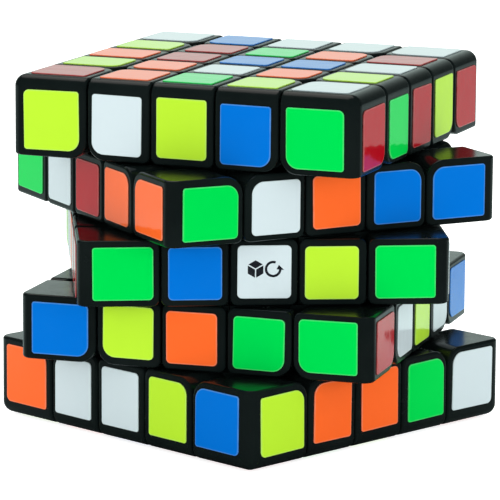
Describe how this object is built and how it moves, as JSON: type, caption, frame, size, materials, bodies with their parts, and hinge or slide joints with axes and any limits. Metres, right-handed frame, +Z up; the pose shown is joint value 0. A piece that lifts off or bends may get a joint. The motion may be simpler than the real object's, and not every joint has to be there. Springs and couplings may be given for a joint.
{
  "type": "twisty puzzle cube",
  "caption": "Stickered twisty puzzle cube with five layers each way, stored with its level layers turned apart about the upright axis.",
  "frame": {"origin": "on the turning axis of the layers, at the underside of the cube, on the surface it stands on", "axes": "+Z up along the turning axis; +X to the right and +Y away, square to the middle layer's faces"},
  "size_m": [0.0852, 0.0852, 0.062],
  "materials": {
    "black_plastic": "glossy black ABS, with fine handling scratches",
    "core_plastic": "plain moulded white plastic",
    "screw_steel": "zinc-plated",
    "spring_steel": "drawn wire",
    "white_vinyl": "glossy vinyl",
    "yellow_vinyl": "glossy vinyl",
    "orange_vinyl": "glossy vinyl",
    "red_vinyl": "glossy vinyl",
    "green_vinyl": "glossy vinyl",
    "blue_vinyl": "glossy vinyl",
    "mark_ink": "dark print on one white sticker"
  },
  "bodies": {
    "core_and_middle_layer": {"core": "core_plastic", "centre_screws": "screw_steel", "centre_washers": "screw_steel", "centre_springs": "spring_steel", "front_centre": "black_plastic", "front_centre_cap": "black_plastic", "front_side_centres": "black_plastic", "right_centre": "black_plastic", "right_centre_cap": "black_plastic", "right_side_centres": "black_plastic", "back_centre": "black_plastic", "back_centre_cap": "black_plastic", "back_side_centres": "black_plastic", "left_centre": "black_plastic", "left_centre_cap": "black_plastic", "left_side_centres": "black_plastic", "middle_edge_front_left": "black_plastic", "middle_edge_front_right": "black_plastic", "middle_edge_back_right": "black_plastic", "middle_edge_back_left": "black_plastic", "middle_stickers": "white_vinyl"},
    "top_layer": {"top_centre": "black_plastic", "top_centre_cap": "black_plastic", "top_corner_back_left": "black_plastic", "top_corner_back_right": "black_plastic", "top_corner_front_left": "black_plastic", "top_corner_front_right": "black_plastic", "top_diagonal_centres": "black_plastic", "top_edge_back": "black_plastic", "top_edge_front": "black_plastic", "top_edge_left": "black_plastic", "top_edge_right": "black_plastic", "top_side_centres": "black_plastic", "top_stickers": "white_vinyl", "top_wings": "black_plastic"},
    "upper_layer": {"upper_diagonal_centres": "black_plastic", "upper_side_centres": "black_plastic", "upper_stickers": "white_vinyl", "upper_wings": "black_plastic"},
    "lower_layer": {"lower_diagonal_centres": "black_plastic", "lower_side_centres": "black_plastic", "lower_stickers": "white_vinyl", "lower_wings": "black_plastic"},
    "bottom_layer": {"bottom_centre": "black_plastic", "bottom_centre_cap": "black_plastic", "bottom_corner_back_left": "black_plastic", "bottom_corner_back_right": "black_plastic", "bottom_corner_front_left": "black_plastic", "bottom_corner_front_right": "black_plastic", "bottom_diagonal_centres": "black_plastic", "bottom_edge_back": "black_plastic", "bottom_edge_front": "black_plastic", "bottom_edge_left": "black_plastic", "bottom_edge_right": "black_plastic", "bottom_side_centres": "black_plastic", "bottom_stickers": "white_vinyl", "bottom_wings": "black_plastic", "underside_stickers": "white_vinyl"}
  },
  "joints": [
    {"name": "top_layer_turn", "type": "hinge", "parent": "core_and_middle_layer", "child": "top_layer", "pos_m": [0, 0, 0.031], "axis": [0, 0, 1], "continuous": true},
    {"name": "upper_layer_turn", "type": "hinge", "parent": "core_and_middle_layer", "child": "upper_layer", "pos_m": [0, 0, 0.031], "axis": [0, 0, 1], "continuous": true},
    {"name": "lower_layer_turn", "type": "hinge", "parent": "core_and_middle_layer", "child": "lower_layer", "pos_m": [0, 0, 0.031], "axis": [0, 0, 1], "continuous": true},
    {"name": "bottom_layer_turn", "type": "hinge", "parent": "core_and_middle_layer", "child": "bottom_layer", "pos_m": [0, 0, 0.031], "axis": [0, 0, 1], "continuous": true}
  ]
}
